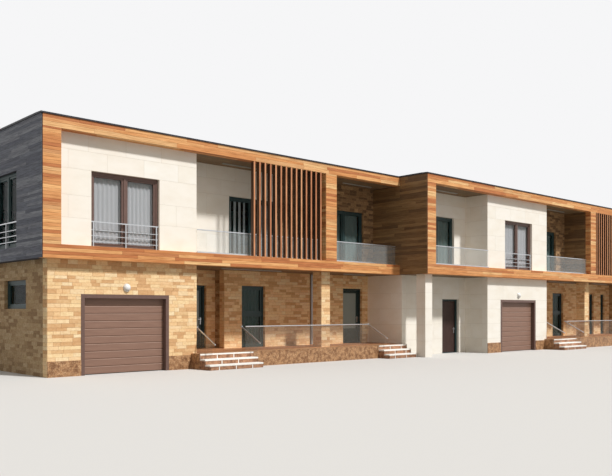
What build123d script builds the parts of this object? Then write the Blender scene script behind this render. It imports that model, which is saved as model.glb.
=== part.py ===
from build123d import *
import os

# Terraced house row, in millimetres: X runs along the street front, Y into the houses, Z up.
# Two staggered house fronts stand side by side. The left front starts at X = 0, Y = 0 on the ground.

# Levels above the ground.
riser_height = 150
riser_count = 3
garage_floor_level = 20
soffit_level = 2995
floor_beam_height = 345
upper_clear_height = 2905
roof_beam_height = 305
coping_height = 50
ceiling_board = 25
roof_slab_thickness = 180
pane_head_below_soffit = 495
upper_head_height = 1990
garage_head_level = 2110
side_door_head_level = 2120

# Plan sizes along the front, from left to right.
overhang = 250
block_width = 4480
open_balcony_width = 1840
screen_width = 3160
post_width = 500
side_balcony_width = 3260
corner_balcony_width = 3600
inner_balcony_width = 3490

# Plan sizes into the houses.
stagger = 1270
left_house_depth = 10250
wall_thickness = 250
balcony_depth = 1310
porch_depth = 1750
recess_depth = 2250
recess_width = 2105
niche_width = 593
left_porch_wall_length = 3772
right_porch_wall_length = 3522
ground_side_set_in = 170
white_wall_past_door = 40
balcony_pier = 130
skin_thickness = 25
movement_joint = 20

# Openings.
french_window_width = 2050
french_window_offset = 1190
middle_french_window_offset = 1240
garage_opening_width = 2640
garage_opening_offset = 900
middle_garage_opening_offset = 920
balcony_door_width = 1960
porch_window_width = 1000
narrow_window_width = 460
end_upper_window_width = 1600
end_lower_window_width = 1480
end_window_offset = 1550
end_lower_window_sill = 1730
end_lower_window_height = 770
rear_window_width = 1500
rear_upper_window_height = 1100
rear_lower_window_height = 1200
entrance_width = 1045
side_door_width = 1080
entrance_side_gap = 710
porch_entrance_offset = 1108
side_door_offset = 420
left_window_offset = 714
right_window_offset = 1081
first_narrow_offset = 606
second_narrow_offset = 1806
transom_height = 1080
side_balcony_door_offset = 775
corner_balcony_door_offset = 905
inner_balcony_door_offset = 725
left_rear_count = 3
right_rear_count = 5

# Frames, sashes and panes.
window_setback = 90
frame_face = 75
frame_depth = 90
sash_face = 55
sash_depth = 70
pane_thickness = 24
garage_frame_face = 100
garage_frame_depth = 160
garage_frame_projection = 15
garage_panel_thickness = 45
garage_panel_setback = 150
garage_rib_pitch = 200
garage_groove_height = 24
garage_groove_depth = 14

# Entrance doors and their hinges.
jamb_face = 60
jamb_depth = 120
jamb_setback = 100
stop_width = 15
leaf_thickness = 60
leaf_gap = 8
stop_gap = 5
sill_height = 25
stile_width = 100
bottom_rail_height = 520
hinge_count = 2
knuckle_radius = 9
knuckle_length = 50
knuckle_gap = 1
pin_radius = 5
pin_rise = 40
pin_clearance = 0.3
hinge_plate_width = 45
hinge_plate_thickness = 3
hinge_end_distance = 250
handle_height = 950
handle_backset = 60
handle_plate_width = 44
handle_plate_height = 230
handle_plate_thickness = 9
handle_plate_rise = 60
lever_height = 20
lever_thickness = 12
lever_reach = 55
lever_length = 130
lock_width = 16
lock_height = 32
lock_projection = 5
lock_drop = 95

# Rails, glass and screens.
rail_radius = 20
rail_knuckle = 48
wall_handrail_gap = 75
level_rail_gap = 120
balustrade_glass_thickness = 12
balcony_glass_height = 680
balcony_rail_size = 30
base_shoe_height = 60
base_shoe_width = 60
glass_line = 215
porch_glass_line = 330
porch_glass_height = 720
handrail_run = 900
handrail_drop = 480
juliet_setback = 45
juliet_height = 690
juliet_top_gap = 220
juliet_post_inset = 60
juliet_bar_width = 18
juliet_bar_pitch = 150
juliet_bar_count = 4
juliet_post_width = 30
slat_width = 60
slat_depth = 130
slat_pitch = 216
slat_start_gap = 82
slat_end_gap = 100
pillar_width = 400
pillar_set_back = 380
pillar_side_set_in = 150
corner_pillar_width = 400
corner_pillar_side_set_in = 205
coping_projection = 30
coping_fall = 12
coping_joint = 5

# Porch edges, steps and plinths.
porch_edge_front = 200
porch_edge_left_reach = 190
tread_going = 245
left_steps_width = 1930
right_steps_width = 1480
right_steps_end_gap = 50
plinth_height = 400
plinth_thickness = 20

# Small fittings.
lamp_radius = 110
lamp_height_above_head = 165
lamp_base_thickness = 45
lamp_base_set_in = 25
lamp_shoulder_radius = 92
lamp_shoulder_height = 58
lamp_crown_radius = 44
lamp_crown_height = 42
downpipe_width = 64
downpipe_wall_gap = 30
downpipe_side_gap = 239
lower_bracket_height = 250
downpipe_bracket_height = 30
light_width = 80
light_height = 30
light_line = 850
long_light = 2400
short_light = 1500
side_porch_light = 1120
left_porch_light_offset = 1375
side_porch_light_offset = 1240
right_porch_light_offset = 1300
end_porch_light_offset = 1400
left_balcony_light_offset = 1410
side_balcony_light_offset = 1200
corner_balcony_light_offset = 970
inner_balcony_light_offset = 1170

# Heights that follow from the sizes above.
porch_level = riser_height * riser_count
pane_head_level = soffit_level - pane_head_below_soffit
upper_level = soffit_level + floor_beam_height
upper_head_level = upper_level + upper_head_height
roof_beam_level = upper_level + upper_clear_height
coping_level = roof_beam_level + roof_beam_height
ground_wall_top = soffit_level
slab_under_side = soffit_level + ceiling_board
roof_slab_level = roof_beam_level + ceiling_board

# Positions along the front that follow from the sizes above.
left_block = (overhang, overhang + block_width)
screen_left = (left_block[1] + open_balcony_width, left_block[1] + open_balcony_width + screen_width)
middle_post = (screen_left[1], screen_left[1] + post_width)
house_line = middle_post[1] + side_balcony_width
corner_post = (house_line, house_line + post_width)
middle_block = (corner_post[1] + corner_balcony_width, corner_post[1] + corner_balcony_width + block_width)
inner_post = (middle_block[1] + inner_balcony_width, middle_block[1] + inner_balcony_width + post_width)
screen_right = (inner_post[1], inner_post[1] + screen_width)
right_block = (screen_right[1] + open_balcony_width, screen_right[1] + open_balcony_width + block_width)
row_length = right_block[1] + overhang
ground_party = (house_line + ground_side_set_in, house_line + ground_side_set_in + wall_thickness)
left_recess_end = left_block[1] + recess_width
right_recess_end = middle_block[1] + recess_width
left_porch_wall_end = left_recess_end + left_porch_wall_length
right_porch_wall_end = right_recess_end + right_porch_wall_length
left_niche = (left_porch_wall_end, left_porch_wall_end + niche_width)
right_niche = (right_porch_wall_end, right_porch_wall_end + niche_width)

# Positions into the houses. The right front stands forward of the left one by the stagger.
left_front = 0
right_front = -stagger
rear_face = left_house_depth
rear_wall_front = rear_face - overhang - wall_thickness
rear_wall_back = rear_face - overhang

parts = {}


def block(x_span, y_span, z_span):
    size = [high - low for low, high in (x_span, y_span, z_span)]
    middle = [(high + low) / 2 for low, high in (x_span, y_span, z_span)]
    return Pos(*middle) * Box(*size)


def front_wall(x_span, front, z_span, holes=()):
    y_span = (front, front + wall_thickness)
    wall = block(x_span, y_span, z_span)
    for hole_x, hole_z in holes:
        wall -= block(hole_x, y_span, hole_z)
    return wall


def span(start, length):
    return (start, start + length)


def keep(name, solids):
    parts.setdefault(name, []).extend(solids)


def mirror_row(x_span):
    return (row_length - x_span[1], row_length - x_span[0])


# Windows: an outer frame, a sash in each light and a pane in each sash, drawn facing -Y.
def glazed_unit(width, height, columns=1, transom=None):
    frame = block((0, width), (0, frame_depth), (0, height))
    light_width_inside = (width - frame_face * (columns + 1)) / columns
    rows = [(frame_face, height - frame_face)]
    if transom is not None:
        rows = [(frame_face, transom), (transom + frame_face, height - frame_face)]
    panes = []
    for column in range(columns):
        x_span = span(frame_face + column * (light_width_inside + frame_face), light_width_inside)
        for z_span in rows:
            frame -= block(x_span, (0, frame_depth), z_span)
            sash_y = (frame_depth - sash_depth, frame_depth)
            sash = block(x_span, sash_y, z_span)
            pane_x = (x_span[0] + sash_face, x_span[1] - sash_face)
            pane_z = (z_span[0] + sash_face, z_span[1] - sash_face)
            frame += sash - block(pane_x, sash_y, pane_z)
            pane_y = span(frame_depth - (sash_depth + pane_thickness) / 2, pane_thickness)
            panes.append(block(pane_x, pane_y, pane_z))
    return frame, panes


def place_window(frame_node, width, height, place, columns=1, transom=None):
    frame, panes = glazed_unit(width, height, columns, transom)
    keep(frame_node, [place * frame])
    keep("window_glass", [place * pane for pane in panes])


def front_window(frame_node, x_span, wall_front, z_span, columns=1, transom=None):
    place = Pos(x_span[0], wall_front + window_setback, z_span[0])
    place_window(frame_node, x_span[1] - x_span[0], z_span[1] - z_span[0], place, columns, transom)


def rear_window(x_span, z_span):
    place = Pos(x_span[1], rear_wall_back - window_setback, z_span[0]) * Rot(0, 0, 180)
    place_window("window_frames", x_span[1] - x_span[0], z_span[1] - z_span[0], place, 2)


def end_window(y_span, wall_face, z_span, columns, facing_left):
    if facing_left:
        place = Pos(wall_face + window_setback, y_span[1], z_span[0]) * Rot(0, 0, -90)
    else:
        place = Pos(wall_face - window_setback, y_span[0], z_span[0]) * Rot(0, 0, 90)
    place_window("window_frames", y_span[1] - y_span[0], z_span[1] - z_span[0], place, columns)


# Garage blocks: front wall with its garage opening below, French window above.
def garage_opening(x_start):
    return span(x_start, garage_opening_width)


left_garage = garage_opening(left_block[0] + garage_opening_offset)
middle_garage = garage_opening(middle_block[0] + middle_garage_opening_offset)
right_garage = mirror_row(left_garage)
left_french = span(left_block[0] + french_window_offset, french_window_width)
middle_french = span(middle_block[0] + middle_french_window_offset, french_window_width)
right_french = mirror_row(left_french)
blocks = [
    (left_block, left_front, left_garage, left_french, "stone_front_walls"),
    (middle_block, right_front, middle_garage, middle_french, "white_front_walls"),
    (right_block, right_front, right_garage, right_french, "stone_front_walls"),
]


def garage_frame(x_span, wall_front):
    y_span = (wall_front - garage_frame_projection, wall_front - garage_frame_projection + garage_frame_depth)
    frame = block(x_span, y_span, (0, garage_head_level))
    inside = (x_span[0] + garage_frame_face, x_span[1] - garage_frame_face)
    return frame - block(inside, y_span, (0, garage_head_level - garage_frame_face))


# The sectional door is one ribbed sheet behind its frame: a groove runs between every two ribs.
def garage_door(x_span, wall_front):
    panel_front = wall_front - garage_frame_projection + garage_panel_setback
    wide = (x_span[0] + garage_frame_face, x_span[1] - garage_frame_face)
    door_top = garage_head_level - garage_frame_face
    door = block(wide, span(panel_front, garage_panel_thickness), (garage_floor_level, door_top))
    groove_z = door_top - garage_rib_pitch
    while groove_z > garage_floor_level + garage_groove_height:
        profile = Polygon(
            (0, -garage_groove_height / 2),
            (garage_groove_depth, -garage_groove_height / 4),
            (garage_groove_depth, garage_groove_height / 4),
            (0, garage_groove_height / 2),
            align=None,
        )
        groove = extrude(Plane.YZ * profile, wide[1] - wide[0])
        door -= Pos(wide[0], panel_front, groove_z) * groove
        groove_z -= garage_rib_pitch
    return door


# A half-round shade in two slopes stands against the wall on a narrower half-round base.
def wall_lamp(x, wall_front):
    upward = (Align.CENTER, Align.CENTER, Align.MIN)
    shade = Cone(lamp_radius, lamp_shoulder_radius, lamp_shoulder_height, align=upward)
    crown = Cone(lamp_shoulder_radius, lamp_crown_radius, lamp_crown_height, align=upward)
    base = Pos(0, 0, -lamp_base_thickness) * Cylinder(
        lamp_radius - lamp_base_set_in, lamp_base_thickness, align=upward
    )
    across = (-lamp_radius, lamp_radius)
    lamp = (shade + Pos(0, 0, lamp_shoulder_height) * crown + base) & block(across, (-lamp_radius, 0), across)
    return Pos(x, wall_front, garage_head_level + lamp_height_above_head) * lamp


# The bars of a French window railing run from side to side of the opening, past three posts.
def juliet_railing(width):
    post_y = (-juliet_post_width / 2, juliet_post_width / 2)
    bar_y = (-juliet_bar_width / 2, juliet_bar_width / 2)
    railing = block((0, width), post_y, (juliet_height - juliet_post_width, juliet_height))
    last_post = width - juliet_post_inset - juliet_post_width
    for post_x in (juliet_post_inset, (juliet_post_inset + last_post) / 2, last_post):
        railing += block(span(post_x, juliet_post_width), post_y, (0, juliet_height))
    for row in range(juliet_bar_count - 1):
        bar_top = juliet_height - juliet_top_gap - row * juliet_bar_pitch
        railing += block((0, width), bar_y, (bar_top - juliet_bar_width, bar_top))
    return railing


for block_x, frame_front, garage_x, french_x, wall_node in blocks:
    wall_front_face = frame_front + overhang
    garage_hole = (garage_x, (0, garage_head_level))
    french_z = (upper_level, upper_head_level)
    keep(wall_node, [front_wall(block_x, wall_front_face, (0, ground_wall_top), [garage_hole])])
    upper_hole = (french_x, french_z)
    upper_wall_z = (upper_level, roof_beam_level)
    keep("upper_white_walls", [front_wall(block_x, wall_front_face, upper_wall_z, [upper_hole])])
    front_window("french_window_frames", french_x, wall_front_face, french_z, 2)
    keep("garage_door_frames", [garage_frame(garage_x, wall_front_face)])
    keep("garage_doors", [garage_door(garage_x, wall_front_face)])
    keep("wall_lamps", [wall_lamp(sum(garage_x) / 2, wall_front_face)])
    railing_place = Pos(french_x[0], wall_front_face + juliet_setback, upper_level)
    keep("juliet_railings", [railing_place * juliet_railing(french_window_width)])
    plinth_end = block_x[1] if block_x == right_block else block_x[1] - porch_edge_left_reach
    plinth_y = (wall_front_face - plinth_thickness, wall_front_face)
    for plinth_x in ((block_x[0], garage_x[0]), (garage_x[1], plinth_end)):
        keep("granite_plinths", [block(plinth_x, plinth_y, (0, plinth_height))])


# Side walls of the garage blocks. Those on the ground run through to the rear wall.
behind_left = left_front + overhang + wall_thickness
behind_right = right_front + overhang + wall_thickness
left_recess_wall = left_front + recess_depth
right_recess_wall = right_front + recess_depth
left_porch_wall = left_front + porch_depth
right_porch_wall = right_front + porch_depth
left_balcony_wall = left_front + balcony_depth
right_balcony_wall = right_front + balcony_depth
ground_z = (0, ground_wall_top)
upper_z = (upper_level, roof_beam_level)
raised_z = (porch_level, ground_wall_top)
inner_side = {
    "left": (left_block[1] - wall_thickness, left_block[1]),
    "middle_near": (middle_block[0], middle_block[0] + wall_thickness),
    "middle_far": (middle_block[1] - wall_thickness, middle_block[1]),
    "right": (right_block[0], right_block[0] + wall_thickness),
}
keep("stone_side_walls", [
    block(inner_side["left"], (behind_left, rear_wall_front), ground_z),
    block(inner_side["right"], (behind_right, rear_wall_front), ground_z),
])
keep("white_side_walls", [
    block(inner_side["middle_near"], (behind_right, rear_wall_front), ground_z),
    block(inner_side["middle_far"], (behind_right, rear_wall_front), ground_z),
    block(ground_party, (right_balcony_wall, rear_wall_back), ground_z),
])
upper_left_y = (behind_left, left_balcony_wall + wall_thickness)
upper_right_y = (behind_right, right_balcony_wall + wall_thickness)
keep("upper_side_walls", [
    block(inner_side["left"], upper_left_y, upper_z),
    block(inner_side["middle_near"], upper_right_y, upper_z),
    block(inner_side["middle_far"], upper_right_y, upper_z),
    block(inner_side["right"], upper_right_y, upper_z),
])


# End walls. The clad upper wall hangs past the ground wall and covers the ends of slabs and beams.
def end_walls(ground_x, upper_x, skin_x, front, facing_left):
    wall_y = (front + overhang + wall_thickness, rear_wall_front)
    lower_y = span(front + end_window_offset, end_lower_window_width)
    lower_z = span(end_lower_window_sill, end_lower_window_height)
    upper_y = span(front + end_window_offset, end_upper_window_width)
    upper_window_z = (upper_level, upper_head_level)
    ground = block(ground_x, wall_y, ground_z) - block(ground_x, lower_y, lower_z)
    keep("stone_side_walls", [ground])
    full_z = (soffit_level, coping_level)
    clad = block(upper_x, (front + overhang, rear_wall_back), full_z)
    clad += block(skin_x, (front, rear_face), full_z)
    clad -= block(upper_x, upper_y, upper_window_z)
    keep("clad_end_walls", [clad])
    ground_face = ground_x[0] if facing_left else ground_x[1]
    upper_face = upper_x[0] if facing_left else upper_x[1]
    end_window(lower_y, ground_face, lower_z, 1, facing_left)
    end_window(upper_y, upper_face, upper_window_z, 2, facing_left)
    rail_x = upper_face + juliet_setback if facing_left else upper_face - juliet_setback
    rail_place = Pos(rail_x, upper_y[0], upper_level) * Rot(0, 0, 90)
    keep("juliet_railings", [rail_place * juliet_railing(end_upper_window_width)])


end_walls(span(overhang, wall_thickness), (0, overhang), (0, skin_thickness), left_front, True)
end_walls(
    mirror_row(span(overhang, wall_thickness)),
    (row_length - overhang, row_length),
    (row_length - skin_thickness, row_length),
    right_front,
    False,
)


# A doorway splits its wall: a pier on each side and a lintel over the head.
def doorway_wall(pier_node, lintel_node, x_span, front, door_x, floor, head, holes=()):
    left_holes = [hole for hole in holes if hole[0][1] <= door_x[0]]
    keep(pier_node, [
        front_wall((x_span[0], door_x[0]), front, (floor, ground_wall_top), left_holes),
        front_wall((door_x[1], x_span[1]), front, (floor, ground_wall_top)),
    ])
    keep(lintel_node, [front_wall(door_x, front, (head, ground_wall_top))])


left_entrance = span(left_block[1] + entrance_side_gap, entrance_width)
hidden_entrance = span(middle_block[1] + entrance_side_gap, entrance_width)
porch_entrance = span(left_niche[1] + porch_entrance_offset, entrance_width)
side_door = (middle_block[0] - side_door_offset - side_door_width, middle_block[0] - side_door_offset)

doorway_wall(
    "stone_front_walls", "door_lintels", (left_block[1], left_recess_end), left_recess_wall,
    left_entrance, porch_level, pane_head_level,
)
doorway_wall(
    "stone_front_walls", "door_lintels", (middle_block[1], right_recess_end), right_recess_wall,
    hidden_entrance, porch_level, pane_head_level,
)
doorway_wall(
    "stone_front_walls", "door_lintels", (left_niche[1], ground_party[0]), left_porch_wall,
    porch_entrance, porch_level, pane_head_level,
)
doorway_wall(
    "white_front_walls", "side_door_lintel", (ground_party[1], middle_block[0]), right_balcony_wall,
    side_door, 0, side_door_head_level,
)

# Porch walls with floor-length windows, the returns beside the recesses and the niche backs.
pane_z = (porch_level, pane_head_level)
left_porch_window = span(left_recess_end + left_window_offset, porch_window_width)
right_porch_window = span(right_recess_end + right_window_offset, porch_window_width)
narrow_windows = [
    span(right_niche[1] + first_narrow_offset, narrow_window_width),
    span(right_niche[1] + second_narrow_offset, narrow_window_width),
]
for wall_x, porch_wall, windows in (
    ((left_recess_end, left_niche[0]), left_porch_wall, [left_porch_window]),
    ((right_recess_end, right_niche[0]), right_porch_wall, [right_porch_window]),
    ((right_niche[1], right_block[0]), right_porch_wall, narrow_windows),
):
    holes = [(window_x, pane_z) for window_x in windows]
    keep("stone_front_walls", [front_wall(wall_x, porch_wall, raised_z, holes)])
front_window("window_frames", left_porch_window, left_porch_wall, pane_z, 1, transom_height)
front_window("window_frames", right_porch_window, right_porch_wall, pane_z, 1, transom_height)
for narrow_window in narrow_windows:
    front_window("window_frames", narrow_window, right_porch_wall, pane_z)
for recess_end, porch_wall, recess_wall in (
    (left_recess_end, left_porch_wall, left_recess_wall),
    (right_recess_end, right_porch_wall, right_recess_wall),
):
    return_y = (porch_wall + wall_thickness, recess_wall + wall_thickness)
    keep("stone_side_walls", [block(span(recess_end, wall_thickness), return_y, raised_z)])
for niche_x, porch_wall in ((left_niche, left_porch_wall), (right_niche, right_porch_wall)):
    back_x = (niche_x[0] - wall_thickness, niche_x[1] + wall_thickness)
    keep("niche_walls", [front_wall(back_x, porch_wall + wall_thickness, raised_z)])

# Balcony back walls upstairs, with their glazed doors. White and stone lengths meet in one plane.
left_balcony_door = span(screen_left[0] + balcony_pier, balcony_door_width)
white_length_left = left_balcony_door[1] + white_wall_past_door
side_balcony_door = span(middle_post[1] + side_balcony_door_offset, balcony_door_width)
corner_balcony_door = span(corner_post[1] + corner_balcony_door_offset, balcony_door_width)
inner_balcony_door = span(middle_block[1] + inner_balcony_door_offset, balcony_door_width)
right_balcony_door = mirror_row(left_balcony_door)
right_stone_end = row_length - white_length_left
door_z = (upper_level, upper_head_level)
balcony_walls = [
    ("upper_white_walls", (left_block[1], white_length_left), left_balcony_wall, left_balcony_door),
    ("upper_stone_walls", (white_length_left, middle_post[0]), left_balcony_wall, None),
    ("upper_stone_walls", (middle_post[1], house_line), left_balcony_wall, side_balcony_door),
    ("upper_white_walls", (corner_post[1], middle_block[0]), right_balcony_wall, corner_balcony_door),
    ("upper_stone_walls", (middle_block[1], inner_post[0]), right_balcony_wall, inner_balcony_door),
    ("upper_stone_walls", (inner_post[1], right_stone_end), right_balcony_wall, None),
    ("upper_white_walls", (right_stone_end, right_block[0]), right_balcony_wall, right_balcony_door),
]
for node, wall_x, wall_y, door_x in balcony_walls:
    holes = [] if door_x is None else [(door_x, door_z)]
    keep(node, [front_wall(wall_x, wall_y, upper_z, holes)])
    if door_x is not None:
        front_window("balcony_door_frames", door_x, wall_y, door_z, 2)

# Timber-clad walls between the balconies. The one on the house line runs through to the rear, and
# its boarding covers the ends of slabs and beams where the right house stands forward.
corner_core = (house_line + skin_thickness, corner_post[1])
keep("flank_cladding", [
    block(span(house_line, skin_thickness), (right_front, left_balcony_wall), (soffit_level, coping_level)),
])
keep("balcony_dividers", [
    block(middle_post, (left_front + overhang, left_balcony_wall + wall_thickness), upper_z),
    block(corner_core, (right_front + overhang, rear_wall_back), upper_z),
    block(inner_post, (right_front + overhang, right_balcony_wall + wall_thickness), upper_z),
])

# Rear walls: the storeys and finishes of the front, plainly repeated with two-light windows.
rear_upper_z = (upper_head_level - rear_upper_window_height, upper_head_level)
rear_lower_z = (pane_head_level - rear_lower_window_height, pane_head_level)


def rear_window_spans(x_span, count):
    pitch = (x_span[1] - x_span[0]) / count
    start = x_span[0] + (pitch - rear_window_width) / 2
    return [span(start + index * pitch, rear_window_width) for index in range(count)]


rear_houses = [
    ((overhang, ground_party[0]), (overhang, house_line), left_rear_count),
    ((ground_party[1], row_length - overhang), (corner_post[1], row_length - overhang), right_rear_count),
]
for ground_x, upper_x, count in rear_houses:
    windows = rear_window_spans(upper_x, count)
    lower_holes = [(x, rear_lower_z) for x in windows]
    upper_holes = [(x, rear_upper_z) for x in windows]
    keep("stone_front_walls", [front_wall(ground_x, rear_wall_front, ground_z, lower_holes)])
    keep("upper_white_walls", [front_wall(upper_x, rear_wall_front, upper_z, upper_holes)])
    for window_x in windows:
        rear_window(window_x, rear_lower_z)
        rear_window(window_x, rear_upper_z)

# Floors, slabs and boarded ceilings.
left_x = (overhang, house_line - movement_joint)
right_x = (house_line + skin_thickness, row_length - overhang)
left_y = (left_front + overhang, rear_wall_back)
right_y = (right_front + overhang, rear_wall_back)
keep("floor_slabs", [
    block(left_x, left_y, (slab_under_side, upper_level)),
    block(right_x, right_y, (slab_under_side, upper_level)),
])
keep("roof_slabs", [
    block(left_x, left_y, span(roof_slab_level, roof_slab_thickness)),
    block(right_x, right_y, span(roof_slab_level, roof_slab_thickness)),
])
for ceiling_x, ceiling_y in ((left_x, left_y), (right_x, right_y)):
    keep("boarded_ceilings", [
        block(ceiling_x, ceiling_y, span(soffit_level, ceiling_board)),
        block(ceiling_x, ceiling_y, span(roof_beam_level, ceiling_board)),
    ])
inner_rear = rear_wall_front
house_floor_z = (0, porch_level)
keep("house_floors", [
    block((left_block[1], ground_party[0]), (left_front + overhang, inner_rear), house_floor_z),
    block((middle_block[1], right_block[0]), (right_front + overhang, inner_rear), house_floor_z),
])
garage_floor_z = (0, garage_floor_level)
for floor_x, floor_start in (
    ((left_block[0] + wall_thickness, inner_side["left"][0]), behind_left),
    ((inner_side["middle_near"][1], inner_side["middle_far"][0]), behind_right),
    ((inner_side["right"][1], right_block[1] - wall_thickness), behind_right),
    ((ground_party[1], middle_block[0]), right_balcony_wall + wall_thickness),
):
    keep("garage_floors", [block(floor_x, (floor_start, inner_rear), garage_floor_z)])

# Timber-clad box frame: beams at floor and roof level and posts between them.
floor_beam_z = (soffit_level, upper_level)
roof_beam_z = (roof_beam_level, coping_level)
post_z = (upper_level, roof_beam_level)
beam_left = skin_thickness
beam_right = row_length - skin_thickness
front_beams = [
    ((beam_left, house_line), left_front, floor_beam_z),
    ((beam_left, house_line), left_front, roof_beam_z),
    ((corner_core[0], beam_right), right_front, floor_beam_z),
    ((corner_core[0], beam_right), right_front, roof_beam_z),
]
for beam_x, front, beam_z in front_beams:
    keep("timber_beams", [block(beam_x, span(front, overhang), beam_z)])
for beam_z in (floor_beam_z, roof_beam_z):
    keep("timber_beams", [block((beam_left, beam_right), span(rear_wall_back, overhang), beam_z)])
end_post = post_width - skin_thickness
for post_x, front in (
    (span(beam_left, end_post), left_front),
    (middle_post, left_front),
    (corner_core, right_front),
    (inner_post, right_front),
    ((beam_right - end_post, beam_right), right_front),
):
    keep("timber_posts", [block(post_x, span(front, overhang), post_z)])
for post_x in (span(beam_left, end_post), corner_post, (beam_right - end_post, beam_right)):
    keep("timber_posts", [block(post_x, span(rear_wall_back, overhang), post_z)])


# Roof edge: the exposed flank of the right house and a folded metal coping on every edge.
def coping(length, width):
    half = width / 2 + coping_projection
    profile = Polygon(
        (-half, 0), (half, 0), (half, coping_height), (-half, coping_height - coping_fall), align=None
    )
    return extrude(Plane.YZ * profile, length)


flank_top = (roof_slab_level + roof_slab_thickness, coping_level)
keep("roof_upstand", [
    block((corner_core[0], house_line + overhang), (right_front + overhang, rear_wall_back), flank_top),
])
for coping_x, coping_y in (
    ((-coping_projection, house_line - coping_projection - coping_joint), left_front + overhang / 2),
    ((house_line - coping_projection, row_length + coping_projection), right_front + overhang / 2),
    ((-coping_projection, row_length + coping_projection), rear_face - overhang / 2),
):
    bar = coping(coping_x[1] - coping_x[0], overhang)
    keep("roof_copings", [Pos(coping_x[0], coping_y, coping_level) * bar])
for coping_x, front in (
    (overhang / 2, left_front),
    (house_line + overhang / 2, right_front),
    (row_length - overhang / 2, right_front),
):
    start = front + overhang + coping_projection + coping_joint
    length = rear_wall_back - coping_projection - coping_joint - start
    bar = Pos(coping_x, start, coping_level) * Rot(0, 0, 90) * coping(length, overhang)
    keep("roof_copings", [bar])

# Slatted screens between the beams.
for screen_x, front in ((screen_left, left_front), (screen_right, right_front)):
    slat_x = screen_x[0] + slat_start_gap
    while slat_x + slat_width < screen_x[1] - slat_end_gap:
        keep("slat_screens", [block(span(slat_x, slat_width), span(front, slat_depth), post_z)])
        slat_x += slat_pitch

# Balcony glass stands in a shoe on the beam behind the slats and carries a slim rail.
balcony_runs = [
    ((left_block[1], middle_post[0]), left_front),
    ((middle_post[1], house_line), left_front),
    ((corner_post[1], middle_block[0]), right_front),
    ((middle_block[1], inner_post[0]), right_front),
    ((inner_post[1], right_block[0]), right_front),
]
half_glass = balustrade_glass_thickness / 2
half_shoe = base_shoe_width / 2
half_rail = balcony_rail_size / 2
for run_x, front in balcony_runs:
    y = front + glass_line
    shoe_z = span(upper_level, base_shoe_height)
    glass_z = (upper_level + base_shoe_height, upper_level + balcony_glass_height)
    keep("balcony_rails", [
        block(run_x, (y - half_shoe, y + half_shoe), shoe_z),
        block(run_x, (y - half_rail, y + half_rail), span(glass_z[1], balcony_rail_size)),
    ])
    keep("balcony_glass", [block(run_x, (y - half_glass, y + half_glass), glass_z)])

# Porch edges, steps and pillars.
left_edge_x = (left_block[1] - porch_edge_left_reach, ground_party[0])
right_edge_x = (middle_block[1] - porch_edge_left_reach, right_block[0])
steps = []
for edge_x, front in ((left_edge_x, left_front), (right_edge_x, right_front)):
    edge_y = (front - porch_edge_front, front + overhang)
    keep("porch_edges", [block(edge_x, edge_y, (0, porch_level))])
    steps.append((span(edge_x[0], left_steps_width), front - porch_edge_front))
    right_end = edge_x[1] - right_steps_end_gap
    steps.append(((right_end - right_steps_width, right_end), front - porch_edge_front))
for step_x, step_back in steps:
    keep("upper_steps", [block(step_x, (step_back - tread_going, step_back), (0, riser_height * 2))])
    lower_y = (step_back - 2 * tread_going, step_back - tread_going)
    keep("lower_steps", [block(step_x, lower_y, (0, riser_height))])

for post_x, front in ((middle_post, left_front), (inner_post, right_front)):
    pillar_x = span(post_x[0] + pillar_side_set_in, pillar_width)
    pillar_y = span(front + pillar_set_back, pillar_width)
    keep("stone_pillars", [block(pillar_x, pillar_y, raised_z)])
corner_pillar_x = span(house_line + corner_pillar_side_set_in, corner_pillar_width)
keep("white_pillar", [block(corner_pillar_x, span(right_front + overhang, corner_pillar_width), ground_z)])


# Porch balustrade: a glass panel with a round rail along each porch, and beside each flight a
# sloping handrail on a glass panel that is cut to the steps.
def tube_between(start, end, radius):
    run = Vector(*end) - Vector(*start)
    return Plane(origin=Vector(*start), z_dir=run) * Cylinder(
        radius, run.length, align=(Align.CENTER, Align.CENTER, Align.MIN)
    )


def handrail_profile(front):
    top_y = front + porch_glass_line
    rail_z = porch_level + porch_glass_height + rail_radius
    return top_y, rail_z, top_y - handrail_run, rail_z - handrail_drop


def step_handrail(x, front):
    top_y, rail_z, low_y, low_z = handrail_profile(front)
    half_knuckle = rail_knuckle / 2
    knuckle = block(
        (x - half_knuckle, x + half_knuckle),
        (top_y - half_knuckle, top_y + half_knuckle),
        (rail_z - half_knuckle, rail_z + half_knuckle),
    )
    return knuckle + tube_between((x, top_y, rail_z), (x, low_y, low_z), rail_radius)


def step_glass(x, front):
    top_y, rail_z, low_y, low_z = handrail_profile(front)
    slope = (rail_z - low_z) / (top_y - low_y)
    under_rail = rail_radius * (1 + slope**2) ** 0.5
    panel_back = top_y - rail_knuckle / 2
    porch_front = front - porch_edge_front
    step_front = porch_front - tread_going
    panel = Polygon(
        (panel_back, porch_level),
        (porch_front, porch_level),
        (porch_front, 2 * riser_height),
        (step_front, 2 * riser_height),
        (step_front, rail_z - under_rail - (top_y - step_front) * slope),
        (panel_back, rail_z - under_rail - (top_y - panel_back) * slope),
        align=None,
    )
    glass = extrude(Plane.YZ * panel, balustrade_glass_thickness)
    return Pos(x - half_glass, 0, 0) * glass


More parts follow.
